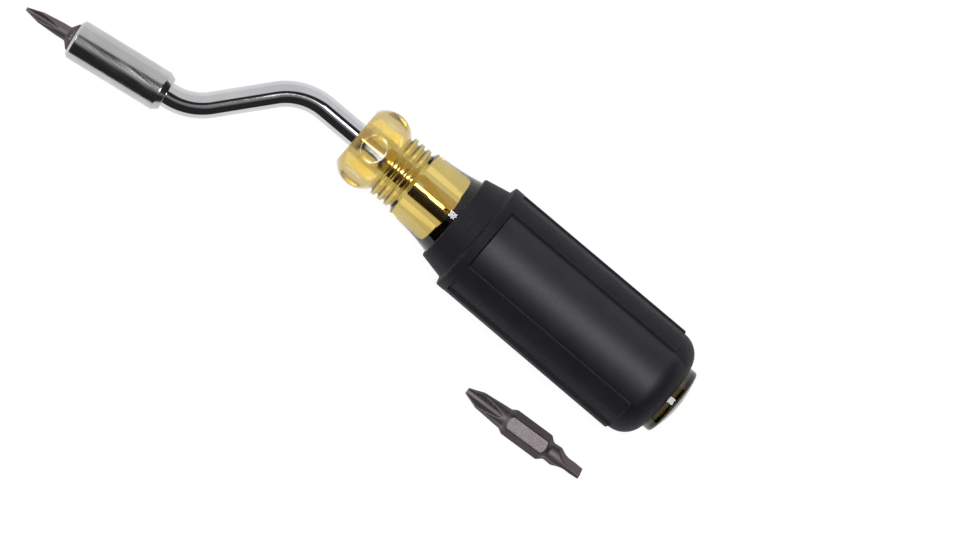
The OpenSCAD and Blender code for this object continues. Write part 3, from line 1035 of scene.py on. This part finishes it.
@dataclass
class CushionGrip(Turned):
    """The rubber grip: front cone, collar, raised pads between two panels, rounded tail. Sizes in mm."""

    name: str = "rubber_grip"
    node: str = "cushion_grip"
    body: Body = Body.DRIVER
    slot: Slot = Slot.RUBBER
    front: float = 88.3
    bore_d: float = 27.04
    lip_d: float = 29.6
    lip_edge: float = 0.6
    cone_d: float = 33.1
    cone_len: float = 8.2
    cone_edge: float = 0.35
    collar_d: float = 37.6
    collar_len: float = 3.7
    collar_lean: float = 0.6
    collar_edge: float = 0.6
    step_len: float = 0.35
    step_edge: float = 0.15
    grip_d: float = 35.8
    least_wall: float = 1.0
    pad_d: float = 37.4
    growth: float = 0.4
    pad_half: float = 11.6
    pad_step: float = 45.0
    pads_per_panel: int = 4
    pad_side_soft: float = 0.55
    pad_end: float = 12.539
    pad_end_soft: float = 0.2
    pad_end_rows: tuple[float, ...] = (0.6, 0.35, 0.1, -0.15)
    tail_at: float = 12.139
    tail_r: float = 7.7
    rear: float = 4.5
    hole_d: float = 22.74
    hole_edge: float = 0.2
    shoulder_front: float = 9.65
    shoulder_rear: float = 7.5
    columns: int = 560
    spacing: float = 1.2

    def outline(self) -> Outline:
        """Gives the closed outline, from the front lip over the outside and back along the bore.

        Returns:
            The outline.
        """
        collar = self.front - self.cone_len
        behind = collar - self.collar_len
        tail_top = (self.grip_d + self.growth) / 2
        shape = Outline().corner(self.front, self.bore_d / 2)
        shape.corner(self.front, self.lip_d / 2, self.lip_edge)
        shape.corner(collar, self.cone_d / 2, self.cone_edge)
        shape.corner(collar - self.collar_lean, self.collar_d / 2, self.collar_edge)
        shape.corner(behind, self.collar_d / 2, self.step_len)
        shape.corner(behind - self.step_len, self.grip_d / 2, self.step_edge)
        for offset in self.pad_end_rows:
            shape.corner(self.pad_end + offset, tail_top)
        centre = (self.tail_at, tail_top - self.tail_r)
        last = math.degrees(math.asin((self.hole_d / 2 + self.hole_edge - centre[1]) / self.tail_r))
        shape.arc(centre, self.tail_r, 90.0, 180.0 - last)
        shape.corner(self.rear + self.hole_edge, self.hole_d / 2)
        shape.corner(self.shoulder_rear, self.hole_d / 2)
        shape.corner(self.shoulder_front, self.bore_d / 2)
        return shape.run(self.front, self.bore_d / 2)

    def inputs(self) -> dict[str, float]:
        """Gives the sizes of the pads.

        Returns:
            The sizes by name.
        """
        pad_front = self.front - self.cone_len - self.collar_len / 2
        return {
            "Panel Turn": math.radians(PANEL_TURN),
            "Pad Step": math.radians(self.pad_step),
            "Pad Half": math.radians(self.pad_half),
            "Pad Side Soft": math.radians(self.pad_side_soft),
            "Pads Per Panel": float(self.pads_per_panel),
            "Pad End": self.pad_end * MM,
            "Pad End Soft": self.pad_end_soft * MM,
            "Pad Front": pad_front * MM,
            "Pad Least": (self.bore_d / 2 + self.least_wall) * MM,
            "Pad Radius": self.pad_d / 2 * MM,
            "Pad Growth": self.growth / 2 / (pad_front - self.pad_end),
        }

    def rule(self, at: TurnedPoint) -> Socket:
        """Raises the pads between the panels.

        Args:
            at: The point.

        Returns:
            The radius with the pads.
        """
        calc, ramp, sizes = at.make.math, at.make.ramp, at.sizes
        place = calc("DIVIDE", calc("SUBTRACT", at.angle, sizes["Panel Turn"]), sizes["Pad Step"])
        nearest = calc("ROUND", place)
        off = calc("MULTIPLY", calc("ABSOLUTE", calc("SUBTRACT", place, nearest)), sizes["Pad Step"])
        side = calc("DIVIDE", calc("SUBTRACT", sizes["Pad Half"], off), sizes["Pad Side Soft"])
        end = calc("DIVIDE", calc("SUBTRACT", at.station, sizes["Pad End"]), sizes["Pad End Soft"])
        number = calc("FLOORED_MODULO", nearest, sizes["Pads Per Panel"])
        share = at.make.product(
            ramp(side, -1.0, 1.0, 0.0, 1.0),
            ramp(end, -1.0, 1.0, 0.0, 1.0),
            calc("GREATER_THAN", number, 0.5),
            calc("LESS_THAN", at.station, sizes["Pad Front"]),
            calc("GREATER_THAN", at.radius, sizes["Pad Least"]),
        )
        behind = calc("SUBTRACT", sizes["Pad Front"], at.station)
        top = calc("MULTIPLY_ADD", behind, sizes["Pad Growth"], sizes["Pad Radius"])
        rise = calc("MAXIMUM", calc("SUBTRACT", top, at.radius), 0.0)
        return calc("MULTIPLY_ADD", share, rise, at.radius)


@dataclass
class CrankedShaft:
    """The round bar with two bends and the flattened wings that hold it in the core. Sizes in mm."""

    diameter: float = 7.94
    start: float = 54.32
    corner_1: Pair = (147.363, 0.0)
    corner_2: Pair = (169.88, 26.271)
    end_along: float = 185.88
    bend_r: float = 18.4
    wing_size: Place = (10.0, 13.0, 2.4)
    wing_at: float = 65.3
    facets: int = 64
    bend_steps: int = 28

    def sweep_tree(self) -> bpy.types.NodeTree:
        """Makes the geometry tree that bends a round bar along a path and adds the wings.

        Returns:
            The tree.
        """
        make = NodeMaker(bpy.data.node_groups.new("bent_bar", "GeometryNodeTree"))
        kinds = {"Path": "Geometry", "Finish": "Material", "Bar Radius": "Float", "Bend Radius": "Float"}
        kinds |= {"Facets": "Int", "Bend Steps": "Int", "Wing Size": "Vector", "Wing Place": "Vector"}
        sizes = make.begin(kinds, {"Bar": "Geometry"})
        path = make.add("GeometryNodeMeshToCurve", {0: sizes["Path"]}).outputs[0]
        fillet = make.add("GeometryNodeFilletCurve", {"Curve": path}, mode="POLY")
        make.feed(fillet.inputs["Radius"], sizes["Bend Radius"])
        make.feed(fillet.inputs["Count"], sizes["Bend Steps"])
        feeds = {"Resolution": sizes["Facets"], "Radius": sizes["Bar Radius"]}
        ring = make.add("GeometryNodeCurvePrimitiveCircle", feeds).outputs[0]
        feeds = {"Curve": fillet.outputs[0], "Profile Curve": ring, "Fill Caps": True}
        bar = make.add("GeometryNodeCurveToMesh", feeds).outputs[0]
        block = make.add("GeometryNodeMeshCube", {"Size": sizes["Wing Size"]}).outputs[0]
        feeds = {"Geometry": block, "Translation": sizes["Wing Place"]}
        wings = make.add("GeometryNodeTransform", feeds).outputs[0]
        both = make.add("GeometryNodeJoinGeometry", {})
        for part in (bar, wings):
            make.feed(both.inputs[0], part)
        end_tree(make, both.outputs[0], sizes["Finish"])
        return make.tree

    def build(self, material: bpy.types.Material) -> None:
        """Makes the shaft, dresses it and ties it to its body.

        Args:
            material: The plating.
        """
        turn = math.radians(TIP_TURN)
        end = (self.end_along * math.cos(turn), self.end_along * math.sin(turn))
        corners = ((self.start, 0.0), self.corner_1, self.corner_2, end)
        piece = line_piece("cranked_shaft", [Vector((*corner, 0.0)) for corner in corners])
        values = {
            "Finish": material,
            "Bar Radius": self.diameter / 2 * MM,
            "Bend Radius": self.bend_r * MM,
            "Facets": self.facets,
            "Bend Steps": self.bend_steps,
            "Wing Size": Vector(self.wing_size) * MM,
            "Wing Place": Vector((self.wing_at, 0.0, 0.0)) * MM,
        }
        grow(piece, self.sweep_tree(), values)
        stand_for(piece, "shaft", Body.DRIVER)


@dataclass
class BitHolder(Turned):
    """The steel sleeve with a hex socket, a groove for the ring and a bore for the shaft. Sizes in mm."""

    name: str = "hex_holder"
    node: str = "bit_holder"
    body: Body = Body.DRIVER
    slot: Slot = Slot.HOLDER
    start: float = 179.907
    length: float = 32.28
    diameter: float = 12.7
    rear_d: float = 10.3
    rear_edge: float = 0.3
    taper: float = 2.0
    shoulder_edge: float = 0.8
    mouth_chamfer: float = 0.8
    mouth_edges: tuple[float, float, float] = (0.3, 0.15, 0.1)
    bore_d: float = 7.98
    bore_len: float = 6.0
    socket_af: float = 8.1
    groove_d: float = 11.02
    groove_len: float = 0.96
    groove_depth: float = 4.0
    columns: int = 240
    spacing: float = 0.5

    def outline(self) -> Outline:
        """Gives the closed outline, from the rear bore over the outside and back through the socket.

        Returns:
            The outline.
        """
        outer, inner, groove_r = self.diameter / 2, self.socket_af / 2, self.groove_d / 2
        mouth = self.length - self.mouth_chamfer
        outer_edge, rim_edge, socket_edge = self.mouth_edges
        shape = Outline().corner(0.0, self.bore_d / 2)
        shape.corner(0.0, self.rear_d / 2, self.rear_edge)
        shape.corner(self.taper, outer, self.shoulder_edge)
        shape.corner(mouth, outer, outer_edge)
        shape.corner(self.length, outer - self.mouth_chamfer, rim_edge)
        shape.corner(self.length, inner + self.mouth_chamfer, socket_edge)
        shape.corner(mouth, inner)
        groove = self.length - self.groove_depth
        for place, radius in ((0.5, inner), (0.5, groove_r), (-0.5, groove_r), (-0.5, inner)):
            shape.corner(groove + place * self.groove_len, radius)
        shape.corner(self.bore_len, inner)
        shape.corner(self.bore_len, self.bore_d / 2)
        return shape.corner(0.0, self.bore_d / 2)

    def inputs(self) -> dict[str, float]:
        """Gives the sizes of the socket."""
        least = (self.bore_d + self.socket_af) / 4
        return {"Socket Radius": self.socket_af / 2 * MM, "Socket Least": least * MM}

    def rule(self, at: TurnedPoint) -> Socket:
        """Opens the socket out to its hex corners.

        Args:
            at: The point.

        Returns:
            The radius with the hex.
        """
        calc, sizes = at.make.math, at.sizes
        inside = calc("GREATER_THAN", at.radius, sizes["Socket Least"])
        change = calc("MAXIMUM", calc("SUBTRACT", at.hexagon(sizes["Socket Radius"]), at.radius), 0.0)
        return calc("MULTIPLY_ADD", change, inside, at.radius)

    def settle(self, mesh: bpy.types.Mesh) -> None:
        """Puts the holder on the end of the shaft."""
        turn = Matrix.Rotation(math.radians(TIP_TURN), 4, "Z")
        mesh.transform(turn @ Matrix.Translation((self.start * MM, 0.0, 0.0)))


@dataclass
class RetainingRing:
    """The wire ring in the socket, whose CAD shape is right as it is."""

    node: str = "retaining_ring"

    def build(self, material: bpy.types.Material) -> None:
        """Dresses the CAD node.

        Args:
            material: The wire.
        """
        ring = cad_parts[self.node]
        ring.data.materials.clear()
        ring.data.materials.append(material)
        LOG.info("%s: dressed CAD node", self.node)


@dataclass
class DoubleBit(Turned):
    """A double-ended bit: cross point with ground flutes, hex with turned ends, flat blade. Sizes in mm."""

    name: str
    node: str
    body: Body
    place: Matrix
    point_d: float
    shank_d: float
    web_d: float
    floor_w: float
    neck_d: float
    blade_w: float
    blade_t: float
    slot: Slot = Slot.BIT
    length: float = 42.9
    point_edge: float = 0.2
    cross_len: float = 5.0
    cross_blend: float = 1.5
    wheel_r: float = 31.4
    wheel_at: float = 1.0
    wall_angle: float = 92.0
    hex_af: float = 7.94
    hex_corner_d: float = 9.1
    hex_start: float = 16.2
    hex_len: float = 12.9
    hex_cone: float = 1.8
    hex_blend: float = 0.8
    neck_blend: float = 1.2
    blade_len: float = 9.3
    blade_blend: float = 2.0
    blade_edge: float = 0.12
    blade_rise: float = 0.7
    blade_turn: float = -68.0
    runout_r: float = 5.0
    runout_edge: float = 2.6
    runout_span: Pair = (-0.5, 0.4)
    edge: float = 0.3
    columns: int = 288
    spacing: float = 0.25

    def outline(self) -> Outline:
        """Gives the outline from the cross point to the blade's end, before flutes, hex and blade are cut.

        Returns:
            The outline.
        """
        hex_end = self.hex_start + self.hex_len
        shape = Outline().corner(0.0, 0.0)
        shape.corner(0.0, self.point_d / 2, self.point_edge)
        shape.corner(self.cross_len, self.shank_d / 2, self.cross_blend)
        shape.corner(self.hex_start - self.hex_cone, self.shank_d / 2, self.hex_blend)
        shape.corner(self.hex_start, self.hex_corner_d / 2, self.hex_blend)
        shape.corner(hex_end, self.hex_corner_d / 2, self.hex_blend)
        shape.corner(hex_end + self.hex_cone, self.neck_d / 2, self.neck_blend)
        shape.corner(self.length - self.blade_len, self.blade_w / 2, self.blade_blend)
        shape.corner(self.length, self.blade_w / 2, self.blade_edge)
        return shape.corner(self.length, 0.0)

    def inputs(self) -> dict[str, float]:
        """Gives the sizes of the hex, the flutes and the blade.

        Returns:
            The sizes by name.
        """
        blade_at = self.length - self.blade_len + self.runout_r
        return {
            "Edge": self.edge * MM,
            "Runout Edge": self.runout_edge * MM,
            "Hex Radius": self.hex_af / 2 * MM,
            "Web": self.web_d / 2 * MM,
            "Floor": self.floor_w / 2 * MM,
            "Floor Blend": self.web_d / 4 * MM,
            "Wheel Radius": self.wheel_r * MM,
            "Wheel At": self.wheel_at * MM,
            "Wall Slope": math.tan(math.radians(self.wall_angle / 2)),
            "Blade At": blade_at * MM,
            "Runout": self.runout_r * MM,
            "Blade Root": (self.blade_t + self.blade_rise) / 2 * MM,
            "Taper": self.blade_rise / 2 / (self.length - blade_at),
            "Blade Turn": math.radians(self.blade_turn),
        }

    def rule(self, at: TurnedPoint) -> Socket:
        """Cuts the hex, the four flutes and the two faces of the blade.

        Args:
            at: The point.

        Returns:
            The radius with all cuts.
        """
        calc, sizes = at.make.math, at.sizes
        least = calc("MINIMUM", sizes["Edge"], at.radius)
        radius = at.radius
        for cut in (at.hexagon(sizes["Hex Radius"]), self.flute_cut(at)):
            radius = calc("SMOOTH_MIN", radius, cut, least)
        past = calc("DIVIDE", calc("SUBTRACT", sizes["Blade At"], at.station), sizes["Runout"])
        soft = calc("MULTIPLY", at.make.ramp(past, *self.runout_span, 0.0, 1.0), sizes["Runout Edge"])
        return calc("SMOOTH_MIN", radius, self.blade_cut(at), calc("MAXIMUM", soft, least))

    def flute_cut(self, at: TurnedPoint) -> Socket:
        """Gives the radius that a grinding wheel with a flat rim and two sloping walls leaves in a flute.

        Args:
            at: The point.

        Returns:
            The radius of the flute.
        """
        calc, sizes = at.make.math, at.sizes
        off = calc("SUBTRACT", at.station, sizes["Wheel At"])
        drop = calc("SUBTRACT", sizes["Wheel Radius"], at.circle(sizes["Wheel Radius"], off))
        floor = calc("ADD", sizes["Web"], drop)
        turn = calc("ABSOLUTE", calc("WRAP", at.angle, math.pi / 4, -math.pi / 4))
        across, aside = calc("COSINE", turn), calc("SINE", turn)
        flat = calc("DIVIDE", floor, across)
        foot = calc("SUBTRACT", floor, calc("DIVIDE", sizes["Floor"], sizes["Wall Slope"]))
        lean = calc("SUBTRACT", across, calc("DIVIDE", aside, sizes["Wall Slope"]))
        wall = calc("DIVIDE", foot, calc("MAXIMUM", lean, LEAST))
        return calc("SMOOTH_MAX", flat, wall, sizes["Floor Blend"])

    def blade_cut(self, at: TurnedPoint) -> Socket:
        """Gives the radius that the two ground faces of the blade leave, with their round run-outs.

        Args:
            at: The point.

        Returns:
            The radius of the blade.
        """
        calc, sizes = at.make.math, at.sizes
        past = calc("SUBTRACT", at.station, sizes["Blade At"])
        before = calc("MINIMUM", past, 0.0)
        drop = calc("SUBTRACT", sizes["Runout"], at.circle(sizes["Runout"], before))
        taper = calc("MULTIPLY", calc("MAXIMUM", past, 0.0), sizes["Taper"])
        half = calc("SUBTRACT", calc("ADD", sizes["Blade Root"], drop), taper)
        facing = calc("ABSOLUTE", calc("COSINE", calc("ADD", at.angle, sizes["Blade Turn"])))
        return calc("DIVIDE", half, calc("MAXIMUM", facing, LEAST))

    def settle(self, mesh: bpy.types.Mesh) -> None:
        """Marks the worked ends, which are duller than the drawn hex, and puts the bit in its place.

        Args:
            mesh: The bit's mesh.
        """
        marks = mesh.attributes.new(WORKED, "FLOAT", "POINT")
        for vertex, mark in zip(mesh.vertices, marks.data):
            along = vertex.co.x / MM
            past = max(self.hex_start - along, along - self.hex_start - self.hex_len)
            mark.value = min(max(past / self.hex_cone, 0.0), 1.0)
        mesh.transform(self.place @ Matrix.Rotation(math.pi, 4, "Z"))


@dataclass(frozen=True)
class BitPlace:
    """Where the bits are: the end of one on the working axis, the middle and turn of the other. In mm."""

    driven_end: float = 228.887
    loose_middle: Pair = (29.1, 36.4)
    loose_turn: float = 3.7

    def driven(self) -> DoubleBit:
        """Gives the small bit in the holder.

        Returns:
            The bit.
        """
        turn = Matrix.Rotation(math.radians(TIP_TURN), 4, "Z")
        return DoubleBit(
            "driven_bit",
            "working_bit",
            Body.WORKING_BIT,
            turn @ Matrix.Translation((self.driven_end * MM, 0.0, 0.0)),
            point_d=1.3,
            shank_d=4.5,
            web_d=1.0,
            floor_w=0.55,
            neck_d=4.7,
            blade_w=4.76,
            blade_t=0.8,
        )

    def loose(self) -> DoubleBit:
        """Gives the large bit that lies on the floor beside the handle.

        Returns:
            The bit.
        """
        middle = Vector((*self.loose_middle, FLOOR + DoubleBit.hex_af / 2)) * MM
        place = Matrix.Translation(middle) @ Matrix.Rotation(math.radians(self.loose_turn), 4, "Z")
        return DoubleBit(
            "loose_bit",
            "spare_bit",
            Body.SPARE_BIT,
            place @ Matrix.Translation((DoubleBit.length / 2 * MM, 0.0, 0.0)),
            point_d=2.4,
            shank_d=7.0,
            web_d=1.9,
            floor_w=1.1,
            neck_d=6.0,
            blade_w=6.35,
            blade_t=1.0,
        )


@dataclass(frozen=True)
class Lamp:
    """A flat soft lamp that hangs level above the handle. Lengths in metres."""

    name: str
    size: Pair
    place: Place
    watts: float

    def hang(self) -> None:
        """Puts the lamp into the scene, where the camera doesn't see it."""
        lamp = bpy.data.lights.new(self.name, "AREA")
        lamp.shape = "RECTANGLE"
        lamp.size, lamp.size_y = self.size
        lamp.energy = self.watts
        hung = new_object(self.name, lamp)
        hung.location = self.place
        hung.visible_camera = False


@dataclass
class Studio:
    """The pale floor, the soft light and the camera. Lengths in metres, angles in degrees."""

    floor_size: float = 8.0
    floor_colour: Colour = (0.16, 0.16, 0.16)
    floor_lift: float = 0.92
    soft_edge: float = 2.0
    wall_way: Pair = (0.882, -0.472)
    wall_edge: float = 23.0
    wall_level: float = 0.85
    dark_level: float = 0.03
    low_edges: Pair = (91.0, 96.0)
    low_level: float = 0.9
    window_level: float = 1.0
    window_half: float = 27.6
    rim_level: float = 0.68
    glow_level: float = 0.3
    glow_edges: Pair = (10.0, 30.0)
    core_edge: float = 13.0
    core_slant: Pair = (15.0, 25.0)
    core_level: float = 0.62
    lamps: tuple[Lamp, ...] = (
        Lamp("strip", (0.24, 0.27), (-0.01, -0.065, 1.0), 3.05),
        Lamp("strip_end", (0.04, 0.26), (0.13, -0.09, 1.0), 0.126),
        Lamp("strip_side", (0.10, 0.10), (-0.08, 0.12, 1.0), 0.47),
        Lamp("strip_front", (0.10, 0.30), (0.56, -0.04, 1.0), 1.6),
    )
    eye: Place = (0.133, 0.00065, 1.22)
    target: Place = (0.069, 0.0065, 0.0)
    right: Place = (-0.7639, -0.6453, 0.0)
    lens: float = 149.4
    sensor: float = 36.0
    nearest: float = 0.01

    def build(self) -> None:
        """Sets up the view, the floor, the world, the lamps and the camera."""
        bpy.context.scene.view_settings.view_transform = "Standard"
        self.build_floor()
        self.build_world()
        for lamp in self.lamps:
            lamp.hang()
        self.build_camera()

    def build_floor(self) -> None:
        """Makes the floor, which is white to the eye and keeps a soft shadow."""
        mesh = bpy.data.meshes.new("floor")
        half = self.floor_size / 2
        corners = [(-half, -half), (half, -half), (half, half), (-half, half)]
        mesh.from_pydata([(x, y, FLOOR * MM) for x, y in corners], [], [(0, 1, 2, 3)])
        material = bpy.data.materials.new("pale_floor")
        material.use_nodes = True
        make = NodeMaker(material.node_tree)
        shader = material.node_tree.nodes["Principled BSDF"]
        shader.inputs["Base Color"].default_value = (*self.floor_colour, 1.0)
        shader.inputs["Roughness"].default_value = 1.0
        shader.inputs["Specular IOR Level"].default_value = 0.0
        shader.inputs["Emission Color"].default_value = (1.0, 1.0, 1.0, 1.0)
        path = make.add("ShaderNodeLightPath", {}).outputs
        seen = make.math("MAXIMUM", path["Is Camera Ray"], path["Is Glossy Ray"])
        seen = make.math("MAXIMUM", seen, path["Is Transmission Ray"])
        make.feed(shader.inputs["Emission Strength"], make.product(seen, self.floor_lift))
        mesh.materials.append(material)
        floor = new_object("floor", mesh)
        floor.visible_transmission = False

    def step(self, make: NodeMaker, angle: Socket, edge: float, levels: Pair) -> Socket:
        """Goes from one level to another over a soft edge."""
        return make.ramp(angle, edge - self.soft_edge, edge + self.soft_edge, *levels)

    def build_world(self) -> None:
        """Makes the surroundings: a pale wall on one side, dark above and on the other, white to the eye."""
        world = bpy.data.worlds.new("studio")
        bpy.context.scene.world = world
        world.use_nodes = True
        make = NodeMaker(world.node_tree)
        calc = make.math
        way = make.split(make.add("ShaderNodeTexCoord", {}).outputs["Generated"])
        ahead = calc("MULTIPLY", way["X"], self.wall_way[0])
        ahead = calc("MULTIPLY_ADD", way["Y"], self.wall_way[1], ahead)
        lean = calc("DEGREES", calc("ARCTAN2", ahead, way["Z"]))
        fall = calc("DEGREES", calc("ARCCOSINE", way["Z"]))
        aside = calc("DEGREES", calc("ARCTAN2", way["Y"], way["Z"]))
        slant = calc("DEGREES", calc("ARCSINE", calc("ABSOLUTE", way["X"])))
        glow = make.ramp(aside, *self.glow_edges, self.glow_level, 0.0)
        glow = make.product(glow, self.step(make, aside, 0.0, (0.0, 1.0)))
        wall = self.step(make, lean, self.wall_edge, (self.dark_level, self.wall_level))
        low = make.ramp(fall, *self.low_edges, 0.0, self.low_level)
        outside = calc("MAXIMUM", calc("MAXIMUM", wall, low), glow)
        beside = make.ramp(slant, *self.core_slant, self.dark_level, self.core_level)
        near = self.step(make, aside, -self.core_edge, (self.wall_level, self.dark_level))
        inside = calc("MAXIMUM", calc("MAXIMUM", beside, near), glow)
        under = calc("SUBTRACT", 180.0, fall)
        window = self.step(make, under, self.window_half, (self.window_level, self.rim_level))
        inside = make.choose(calc("LESS_THAN", way["Z"], 0.0), inside, window)
        path = make.add("ShaderNodeLightPath", {}).outputs
        level = make.choose(path["Is Transmission Ray"], outside, inside)
        level = make.choose(path["Is Camera Ray"], level, 1.0)
        background = world.node_tree.nodes["Background"].inputs
        background["Color"].default_value = (1.0, 1.0, 1.0, 1.0)
        make.feed(background["Strength"], level)

    def build_camera(self) -> None:
        """Places the camera over the object, turned as in the photograph."""
        camera = bpy.data.cameras.new("camera")
        camera.lens = self.lens
        camera.sensor_width = self.sensor
        camera.clip_start = self.nearest
        held = new_object("camera", camera)
        back = (Vector(self.eye) - Vector(self.target)).normalized()
        side = Vector(self.right)
        side = (side - back * side.dot(back)).normalized()
        turn = Matrix((side, back.cross(side), back)).transposed()
        held.matrix_world = Matrix.Translation(self.eye) @ turn.to_4x4()
        bpy.context.scene.camera = held


def main() -> None:
    """Builds the studio and the pieces in order."""
    logging.basicConfig(level=logging.INFO, format="%(name)s: %(message)s")
    Studio().build()
    effects = SurfaceEffects()
    HandleCore().build(AcetateFinish().build(effects))
    CushionGrip().build(RubberFinish().build(effects))
    CrankedShaft().build(SHAFT_PLATING.build(effects))
    BitHolder().build(HOLDER_PLATING.build(effects))
    RetainingRing().build(WireFinish().build(effects))
    steel = BitSteelFinish().build(effects)
    for bit in (BitPlace().driven(), BitPlace().loose()):
        bit.build(steel)


if __name__ == "__main__":
    main()
